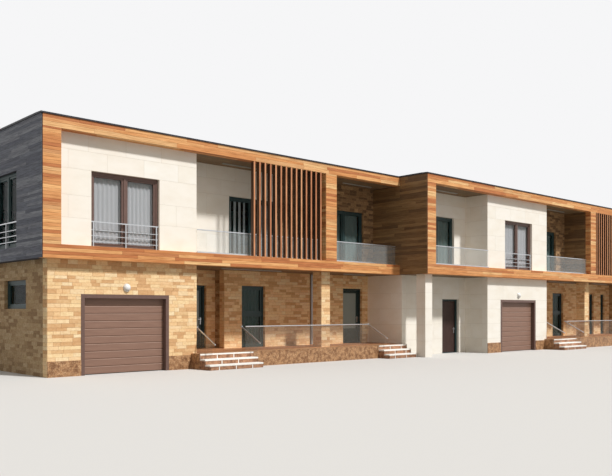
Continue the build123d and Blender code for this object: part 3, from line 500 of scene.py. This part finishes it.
# The courses are the same on every wall, and an opening or a wall's end cuts a course.
def courseLines(edges, lowest, course):
    draws = random.Random(layValues["courseSeed"])
    lines = list(edges)
    height = lowest
    while height < edges[-1]:
        height += draws.uniform(*course)
        clear = min(abs(height - edge) for edge in edges) > course[0] * layValues["leastShare"]
        if edges[0] < height < edges[-1] and clear:
            lines.append(height)
    return sorted(lines)


def cutSpan(start, end, lengths, draws, firstShare):
    cuts = [start]
    step = draws.uniform(*lengths) * firstShare
    while end - cuts[-1] > step + lengths[0] * layValues["leastShare"]:
        cuts.append(cuts[-1] + step)
        step = draws.uniform(*lengths)
    return cuts + [end]


# What is left of a reveal outside the frame that stands in it.
def outerReveal(axis, offset, span, height):
    if axis == 2:
        return span
    across = 1 - axis
    slack, clear = layValues["revealSlack"], layValues["revealClear"]
    for low, high in openings:
        nearest = min(abs(offset - low[axis]), abs(offset - high[axis]))
        within = span[0] - slack <= low[across] and high[across] <= span[1] + slack
        if nearest < layValues["revealTouch"] and low[2] < height < high[2] and within:
            middle = layValues["middleY"] if across == 1 else layValues["middleX"]
            if (span[0] + span[1]) / 2 > middle:
                return [high[across] + clear, span[1]]
            return [span[0], low[across] - clear]
    return span


def newPatch():
    patch = bmesh.new()
    patch.verts.layers.float_vector.new("lay")
    return patch


# Small patches are filled and merged, because each new box in a large shape takes longer.
def mergePatch(shape, patch):
    carrier = bpy.data.meshes.new("patch")
    patch.to_mesh(carrier)
    patch.free()
    shape.from_mesh(carrier)
    bpy.data.meshes.remove(carrier)


def firstLength(row, rules, draws):
    if "bond" in rules and row % 2:
        return rules["bond"]
    share = draws.uniform(*layValues["firstShare"])
    return 1.0 if "bond" in rules else share


def layCourses(shape, nodeName, directions, rules, draws):
    patch = newPatch()
    triangles = readTriangles(nodeName)
    normals = np.cross(triangles[:, 1] - triangles[:, 0], triangles[:, 2] - triangles[:, 0])
    normals /= np.maximum(np.linalg.norm(normals, axis=1), layValues["leastNormal"])[:, None]
    for axis, sign in directions:
        chosen = triangles[normals[:, axis] * sign > layValues["sameFacing"]]
        offsets = np.round(chosen[:, 0, axis], 3)
        along, across = (1, 2) if axis == 0 else (0, 2) if axis == 1 else (0, 1)
        facing = (axis, sign, along, across)
        for offset in sorted(set(offsets.tolist())):
            inPlane = np.abs(offsets - offset) < layValues["samePlane"]
            flat = chosen[inPlane][:, :, [along, across]]
            edges = sorted(set(np.round(flat[:, :, 1].ravel(), 3).tolist()))
            if len(edges) < 2:
                continue
            lines = courseLines(edges, rules.get("lowest", edges[0]), rules["course"])
            for row, (low, high) in enumerate(zip(lines[:-1], lines[1:])):
                height = (low + high) / 2
                for span in crossings(flat, height):
                    span = outerReveal(axis, offset, span, height)
                    if span[1] - span[0] < layValues["leastSpan"]:
                        continue
                    share = firstLength(row, rules, draws)
                    cuts = cutSpan(span[0], span[1], rules["length"], draws, share)
                    for start, end in zip(cuts[:-1], cuts[1:]):
                        layOne(patch, facing, offset, (start, end, low, high), rules, draws)
                if len(patch.verts) > layValues["patchCorners"]:
                    mergePatch(shape, patch)
                    patch = newPatch()
    mergePatch(shape, patch)


def layOne(shape, facing, offset, reach, rules, draws):
    layer = shape.verts.layers.float_vector["lay"]
    axis, sign, along, across = facing
    start, end, low, high = reach
    relief = draws.uniform(*rules["relief"])
    tone = draws.random()
    uneven = [draws.uniform(-rules["uneven"], rules["uneven"]) for corner in range(4)]
    centre, size = Vector((0, 0, 0)), Vector((0, 0, 0))
    centre[along], size[along] = (start + end) / 2, end - start - rules["gap"]
    centre[across], size[across] = (low + high) / 2, high - low - rules["gap"]
    centre[axis], size[axis] = offset + sign * (relief - rules["sunk"]) / 2, relief + rules["sunk"]
    if min(size) <= layValues["leastSize"]:
        return
    probeIn, probes = layValues["probeIn"], []
    for run in (start + probeIn, end - probeIn):
        for rise in (low + probeIn, high - probeIn):
            probe = centre.copy()
            probe[along], probe[across] = run, rise
            probe[axis] = offset + sign * layValues["probeOut"]
            probes.append(probe)
    if all(insideAny(rules.get("hidden", hiddenBoxes), *probe) for probe in probes):
        return
    place = Matrix.Translation(centre + siteShift) @ Matrix.Diagonal((*size, 1.0))
    made = bmesh.ops.create_cube(shape, size=1.0, matrix=place)["verts"]
    corner = 0
    for vert in made:
        spot = vert.co - siteShift
        vert[layer] = (spot[along], spot[across], tone)
        if (spot[axis] - centre[axis]) * sign > 0:
            vert.co[axis] += sign * uneven[corner]
            corner += 1


front, rear, left, right, down, up = (1, -1), (1, 1), (0, -1), (0, 1), (2, -1), (2, 1)

stoneRules = {"course": (0.082, 0.112), "length": (0.14, 0.46), "gap": 0.005,
              "relief": (0.004, 0.009), "uneven": 0.0016, "sunk": 0.004, "lowest": 0.0}
boardRules = {"course": (0.086, 0.087), "length": (0.9, 3.2), "gap": 0.004,
              "relief": (0.005, 0.007), "uneven": 0.0002, "sunk": 0.003}
narrowRules = dict(boardRules, course=(0.068, 0.078), length=(0.8, 2.8), gap=0.003)
flankRules = dict(boardRules, course=(0.098, 0.104), length=(0.8, 2.6))
slatRules = dict(boardRules, course=(4.0, 4.001), length=(1.0, 1.001), gap=0.003,
                 relief=(0.003, 0.004))
slabRules = {"course": (0.581, 0.5812), "length": (1.1, 1.1001), "bond": 0.5, "gap": 0.006,
             "relief": (0.003, 0.0034), "uneven": 0.0, "sunk": 0.003, "lowest": 0.0}
soffitRules = dict(boardRules, course=(0.12, 0.1205), length=(1.6, 3.6))
deckRules = dict(boardRules, course=(0.14, 0.1405), length=(1.6, 3.6), gap=0.006)
tileRules = {"course": (0.4, 0.4005), "length": (0.4, 0.4005), "gap": 0.004,
             "relief": (0.003, 0.0032), "uneven": 0.0, "sunk": 0.003}
roofRules = {"course": (1.0, 1.0005), "length": (4.0, 6.0), "gap": 0.012,
             "relief": (0.003, 0.005), "uneven": 0.0, "sunk": 0.002, "hidden": roomBoxes}

# Piece: its finish, slot, laying rules, seed, and the walls that it lies on with the ways they face.
laidPieces = {
    "frontStones": ("stoneLaid", "sand_stone", stoneRules, 1, {
        "stone_front_walls": [front, left, right], "door_lintels": [front],
        "niche_walls": [front, left, right], "stone_pillars": [front, left, right, rear]}),
    "rearStones": ("stoneLaid", "sand_stone", stoneRules, 2, {
        "stone_front_walls": [rear], "white_side_walls": [rear]}),
    "endStonesPaintedShade": ("endStoneShadeLaid", "sand_stone", stoneRules, 3, {
        "stone_side_walls": [front, left, right, rear]}),
    "balconyStones": ("shadeStoneLaid", "sand_stone", stoneRules, 4, {
        "upper_stone_walls": [front, left, right]}),
    "beamBoards": ("timberLaid", "timber_boards", boardRules, 5, {
        "timber_beams": [front, left, right, rear, down, up]}),
    "postBoards": ("timberLaid", "timber_boards", boardRules, 6, {
        "timber_posts": [front, left, right, rear]}),
    "slatFaces": ("slatLaid", "timber_boards", slatRules, 15, {"slat_screens": [front]}),
    "flankBoardsPaintedShade": ("flankShadeLaid", "timber_boards", flankRules, 7, {
        "flank_cladding": [left, front], "balcony_dividers": [front, left, right]}),
    "endBoards": ("darkLaid", "dark_boards", narrowRules, 8, {"clad_end_walls": [left, right]}),
    "whiteSlabs": ("whiteLaid", "white_render", slabRules, 9, {
        "upper_white_walls": [front, rear, left, right], "upper_side_walls": [front, left, right],
        "white_front_walls": [front, left, right], "white_side_walls": [front, left, right],
        "white_pillar": [front, left, right, rear], "side_door_lintel": [front]}),
    "soffitBoardsPaintedShade": ("soffitShadeLaid", "soffit_boards", soffitRules, 10, {"boarded_ceilings": [down]}),
    "porchDeck": ("deckLaid", "timber_boards", deckRules, 12, {"house_floors": [up]}),
    "balconyTiles": ("pavedLaid", "concrete", tileRules, 13, {"floor_slabs": [up]}),
    "roofSheets": ("roofLaid", "roof_membrane", roofRules, 14, {"roof_slabs": [up]}),
}

for pieceName, (finish, slotName, rules, seed, walls) in laidPieces.items():
    shape = bmesh.new()
    draws = random.Random(seed)
    for nodeName, directions in walls.items():
        layCourses(shape, nodeName, directions, rules, draws)
    print("stage:", pieceName, len(shape.faces) // 6, "laid")
    finishPiece(pieceName, shape, finish)


# Steps: white treads over brown risers, with white joints between the riser stones. Each flight
# goes on into the porch edge behind it, from and to these places along the front.
stepValues = {
    "rise": 0.15, "treadThick": 0.045, "treadRound": 0.003, "setIn": 0.012, "overlap": 0.001,
    "stoneProud": 0.006, "stoneDeep": 0.02, "stoneLength": 0.60, "stoneLeast": 0.15,
    "joint": 0.035, "lastBit": 0.02, "clear": 0.002, "firstStone": (0.55, 1.0),
    "porchProud": 0.016, "porchDeep": 0.05, "porchUnder": 0.04, "porchSlack": 0.01,
    "flights": [(4.540, 6.470), (12.130, 13.610), (21.880, 23.810), (29.530, 31.010)],
}


def addBox(shape, low, high):
    centre = (Vector(low) + Vector(high)) / 2 + siteShift
    size = Vector(high) - Vector(low)
    place = Matrix.Translation(centre) @ Matrix.Diagonal((*size, 1.0))
    bmesh.ops.create_cube(shape, size=1.0, matrix=place)


def riserStones(shape, low, high, shift, foot):
    values = stepValues
    clear, joint = values["clear"], values["joint"] / 2
    deep, sunk = values["setIn"] - values["stoneProud"], values["stoneDeep"]
    top = high[2] - values["treadThick"]
    start = low[0]
    cut = low[0] + values["stoneLength"] * shift
    while start < high[0] - values["lastBit"]:
        end = min(cut, high[0])
        if high[0] - end < values["stoneLeast"]:
            end = high[0]
        first = start + (joint if start > low[0] else values["setIn"])
        last = end - (joint if end < high[0] else values["setIn"])
        addBox(shape, (first, low[1] + deep, low[2] + 2 * clear), (last, low[1] + deep + sunk, top))
        start, cut = end, end + values["stoneLength"]
    for side, inward in ((low[0], 1), (high[0], -1)):
        edges = sorted((side + inward * deep, side + inward * (deep + sunk)))
        addBox(shape, (edges[0], low[1] + deep, foot + clear), (edges[1], high[1] - clear, top))


treads, stones = bmesh.new(), bmesh.new()
rise, thick = stepValues["rise"], stepValues["treadThick"]
inset, clear, overlap = stepValues["setIn"], stepValues["clear"], stepValues["overlap"]
stepSolids = solidBoxes(["lower_steps"], 0.0) + solidBoxes(["upper_steps"], 0.0)
stepSolids.sort(key=lambda box: (round(box[0][0], 2), box[0][1]))
for index, (low, high) in enumerate(stepSolids):
    addBox(treads, (low[0], low[1], high[2] - thick), high)
    addBox(treads, (low[0] + inset, low[1] + inset, low[2]),
           (high[0] - inset, high[1], high[2] - thick + overlap))
    lowest = max(low[2], high[2] - rise)
    riserStones(stones, (low[0], low[1], lowest), high, stepValues["firstStone"][index % 2], low[2])
for low, high in solidBoxes(["porch_edges"], 0.0):
    for start, end in stepValues["flights"]:
        slack = stepValues["porchSlack"]
        if low[0] - slack <= start and end <= high[0] + slack:
            face, back = low[1] - stepValues["porchProud"], low[1] + clear
            addBox(treads, (start, face, high[2] - thick), (end, back, high[2] - overlap))
            addBox(treads, (start, low[1] - 2 * clear, high[2] - rise),
                   (end, back, high[2] - stepValues["porchUnder"]))
            riserStones(stones, (start, face, high[2] - rise),
                        (end, face + stepValues["porchDeep"], high[2]), 1.0, high[2] - rise)
bmesh.ops.bevel(treads, geom=treads.edges[:], offset=stepValues["treadRound"], segments=1,
                affect="EDGES", profile=0.5, material=-1)
treadPiece = finishPiece("whiteTreads", treads, "whiteTread")
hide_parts("upper_steps", "lower_steps")
finishPiece("riserStones", stones, "riserStone")
print("stage: steps")


# Garage doors: a thin strip under each groove is painted brighter than the door, a painted highlight
# where the groove's rounded lip would catch the light.
highlightStripValues = {"pitch": 0.200, "lastShare": 0.3, "grooveHalf": 0.012, "tall": 0.009, "proud": 0.003,
             "setIn": 0.004, "sunk": 0.002}
highlightStrips = bmesh.new()
stripIn, stripProud, stripTall = highlightStripValues["setIn"], highlightStripValues["proud"], highlightStripValues["tall"]
for low, high in solidBoxes(["garage_doors"], 0.0):
    groove = high[2] - highlightStripValues["pitch"]
    while groove > low[2] + highlightStripValues["pitch"] * highlightStripValues["lastShare"]:
        top = groove - highlightStripValues["grooveHalf"]
        addBox(highlightStrips, (low[0] + stripIn, low[1] - stripProud, top - stripTall),
               (high[0] - stripIn, low[1] + highlightStripValues["sunk"], top))
        groove -= highlightStripValues["pitch"]
finishPiece("garageHighlightStrips", highlightStrips, "garagePaintedHighlight")
print("stage: garage lips")


# Wall lamps: an opal dome, nearly flat at its back, on a turned ring.
lampValues = {"sides": 32, "domeSplits": 3, "ringThick": 0.018, "domeShare": 0.93, "backFlat": 0.1,
              "joinGap": 0.02}
domes, collars = bmesh.new(), bmesh.new()
ringThick, turn = lampValues["ringThick"], Matrix.Rotation(math.pi / 2, 4, "X")
for low, high in solidBoxes(["wall_lamps"], lampValues["joinGap"]):
    centre = (low + high) / 2
    radius = (high[0] - low[0]) / 2
    back, depth = high[1], high[1] - low[1]
    domeBase = Vector((centre[0], back - ringThick, centre[2])) + siteShift
    forward = (depth - ringThick) / radius
    made = bmesh.ops.create_icosphere(domes, subdivisions=lampValues["domeSplits"],
                                      radius=radius * lampValues["domeShare"])["verts"]
    for vert in made:
        vert.co.y *= forward if vert.co.y < 0 else lampValues["backFlat"]
        vert.co += domeBase
    middle = Vector((centre[0], back - ringThick / 2, centre[2])) + siteShift
    bmesh.ops.create_cone(collars, cap_ends=True, cap_tris=False, segments=lampValues["sides"],
                          radius1=radius, radius2=radius, depth=ringThick,
                          matrix=Matrix.Translation(middle) @ turn)
bmesh.ops.recalc_face_normals(collars, faces=collars.faces)
lampPiece = finishPiece("lampDomes", domes, "lamp", smooth=True)
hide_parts("wall_lamps")
finishPiece("lampCollars", collars, "steel")
print("stage: lamps")


# Curtains hang in the reveal, just behind each window's frame. Past rearLine a window faces back.
curtainValues = {
    "clear": 0.015, "behind": 0.040, "floorGap": 0.02, "headGap": 0.01, "rearLine": 9.0,
    "swing": 0.015, "topSwing": 0.8, "footSwing": 0.2, "perFold": 10, "leastColumns": 6, "rows": 8,
    "mostWander": 6.28,
    "slowDrift": (0.5, 2.1), "fastDrift": (0.2, 9.0),
    "frenchFold": 0.125, "balconyFold": 0.24, "windowFold": 0.15,
    "blindStrips": [(0.07 + 0.1 * step, 0.115 + 0.1 * step) for step in range(9)],
    "drawnShare": 0.94, "blindBefore": 8.0, "endWallWidth": 0.3,
}


def hangCurtain(name, low, high, finish, folds, strips):
    values = curtainValues
    facesBack = low[1] > values["rearLine"]
    base = low[1] - values["behind"] if facesBack else high[1] + values["behind"]
    bottom, top = low[2] + values["floorGap"], high[2] - values["headGap"]
    whole = high[0] - low[0] - 2 * values["clear"]
    (slowSize, slowRate), (fastSize, fastRate) = values["slowDrift"], values["fastDrift"]
    cloth = bmesh.new()
    draws = random.Random(len(name) + round(float(low[0]) * 10))
    for first, last in strips:
        start, width = low[0] + values["clear"] + whole * first, whole * (last - first)
        columns = max(values["leastColumns"], int(width / folds * values["perFold"]))
        wander = draws.uniform(0, values["mostWander"])
        made = bmesh.ops.create_grid(cloth, x_segments=columns, y_segments=values["rows"], size=0.5)
        for vert in made["verts"]:
            run, height = vert.co.x + 0.5, vert.co.y + 0.5
            drift = slowSize * math.sin(slowRate * run * math.pi + wander)
            drift = drift + fastSize * math.sin(fastRate * run + 2 * wander)
            wave = math.sin(2 * math.pi * run * width / folds + drift + wander)
            swing = values["swing"] * wave * (values["topSwing"] + values["footSwing"] * (1 - height))
            place = (start + width * run, base + swing, bottom + (top - bottom) * height)
            vert.co = Vector(place) + siteShift
    bmesh.ops.recalc_face_normals(cloth, faces=cloth.faces)
    area = sum(face.calc_area() for face in cloth.faces)
    piece = finishPiece(name, cloth, finish, smooth=True)


for index, (low, high) in enumerate(solidBoxes(["french_window_frames"], frameGap)):
    hangCurtain(f"frenchCurtain{index + 1}", low, high, "curtain",
                curtainValues["frenchFold"], [(0.0, 1.0)])
for index, (low, high) in enumerate(solidBoxes(["balcony_door_frames"], frameGap)):
    hasBlind = low[0] < curtainValues["blindBefore"]  # the first balcony's door has upright strips
    strips = curtainValues["blindStrips"] if hasBlind else [(0.0, curtainValues["drawnShare"])]
    hangCurtain(f"balconyCurtain{index + 1}", low, high, "blind" if hasBlind else "doorCurtain",
                curtainValues["balconyFold"], strips)
plainWindows = [box for box in solidBoxes(["window_frames"], frameGap)
                if box[1][0] - box[0][0] > curtainValues["endWallWidth"]]
for index, (low, high) in enumerate(plainWindows):
    hangCurtain(f"windowCurtain{index + 1}", low, high, "darkCurtain",
                curtainValues["windowFold"], [(0.0, 1.0)])
print("stage: curtains")


stageValues = {
    "floorReach": 420.0, "floorSides": 96, "floorSeen": (212, 210, 206), "floorLit": (142, 140, 134),
    "floorRoughness": 0.9, "floorSpecular": 0.1,
    "skyColour": (246, 246, 247), "skyLightColour": (252, 250, 248), "skyLight": 0.45,
    "sunPower": 3.15, "sunAngle": 5.0, "sunUp": 50.0, "sunRight": 18.0,
}


# Rays that see the background as it is written: the camera's, and those from metal and through glass.
def seenRays(tree):
    rays = tree.nodes.new("ShaderNodeLightPath")
    passedOn = tree.nodes.new("ShaderNodeMath")
    passedOn.operation = "MAXIMUM"
    seen = tree.nodes.new("ShaderNodeMath")
    seen.operation = "MAXIMUM"
    tree.links.new(rays.outputs["Is Glossy Ray"], passedOn.inputs[0])
    tree.links.new(rays.outputs["Is Transmission Ray"], passedOn.inputs[1])
    tree.links.new(rays.outputs["Is Camera Ray"], seen.inputs[0])
    tree.links.new(passedOn.outputs["Value"], seen.inputs[1])
    return seen.outputs["Value"]


floorShape = bmesh.new()
bmesh.ops.create_circle(floorShape, cap_ends=True, segments=stageValues["floorSides"],
                        radius=stageValues["floorReach"])
floorMesh = bpy.data.meshes.new("paleFloor")
floorShape.to_mesh(floorMesh)
floorShape.free()
floor = bpy.data.objects.new("paleFloor", floorMesh)
bpy.context.scene.collection.objects.link(floor)
floorFinish, floorTree, floorShader = startFinish("paleFloor", stageValues["floorRoughness"],
                                                  specular=stageValues["floorSpecular"])
floorMix = floorTree.nodes.new("ShaderNodeMix")  # pale as seen, while it throws less light back up
floorMix.data_type = "RGBA"
floorMix.inputs[6].default_value = toLinear(stageValues["floorLit"])
floorMix.inputs[7].default_value = toLinear(stageValues["floorSeen"])
floorTree.links.new(seenRays(floorTree), floorMix.inputs[0])
floorTree.links.new(floorMix.outputs[2], floorShader.inputs["Base Color"])
floorMesh.materials.append(floorFinish)

world = bpy.data.worlds.new("softSky")
bpy.context.scene.world = world
world.use_nodes = True
sky = world.node_tree
for node in list(sky.nodes):
    sky.nodes.remove(node)
lightSky = sky.nodes.new("ShaderNodeBackground")
lightSky.inputs["Color"].default_value = toLinear(stageValues["skyLightColour"])
lightSky.inputs["Strength"].default_value = stageValues["skyLight"]
seenSky = sky.nodes.new("ShaderNodeBackground")
seenSky.inputs["Color"].default_value = toLinear(stageValues["skyColour"])
seenSky.inputs["Strength"].default_value = 1.0
blend = sky.nodes.new("ShaderNodeMixShader")
skyOutput = sky.nodes.new("ShaderNodeOutputWorld")
sky.links.new(seenRays(sky), blend.inputs["Fac"])
sky.links.new(lightSky.outputs["Background"], blend.inputs[1])
sky.links.new(seenSky.outputs["Background"], blend.inputs[2])
sky.links.new(blend.outputs["Shader"], skyOutput.inputs["Surface"])

sunUp, sunRight = math.radians(stageValues["sunUp"]), math.radians(stageValues["sunRight"])
toSun = Vector((math.sin(sunRight) * math.cos(sunUp), -math.cos(sunRight) * math.cos(sunUp),
                math.sin(sunUp)))
sunData = bpy.data.lights.new("softSun", "SUN")
sunData.energy = stageValues["sunPower"]
sunData.angle = math.radians(stageValues["sunAngle"])
sun = bpy.data.objects.new("softSun", sunData)
sun.rotation_euler = toSun.to_track_quat("Z", "Y").to_euler()
bpy.context.scene.collection.objects.link(sun)

cameraValues = {"place": (-25.695, -22.18, 1.70), "forward": (0.678, 0.735, 0.0), "lens": 44.44,
                "sensor": 36.0, "shiftUp": 0.1176, "seesTo": 400.0}
cameraData = bpy.data.cameras.new("streetCamera")
cameraData.lens = cameraValues["lens"]
cameraData.sensor_width = cameraValues["sensor"]
cameraData.shift_y = cameraValues["shiftUp"]
cameraData.clip_end = cameraValues["seesTo"]
camera = bpy.data.objects.new("streetCamera", cameraData)
bpy.context.scene.collection.objects.link(camera)
camera.location = cameraValues["place"]
camera.rotation_euler = Vector(cameraValues["forward"]).to_track_quat("-Z", "Y").to_euler()
bpy.context.scene.camera = camera
bpy.context.scene.view_settings.view_transform = "Standard"
print("stage: light and camera")
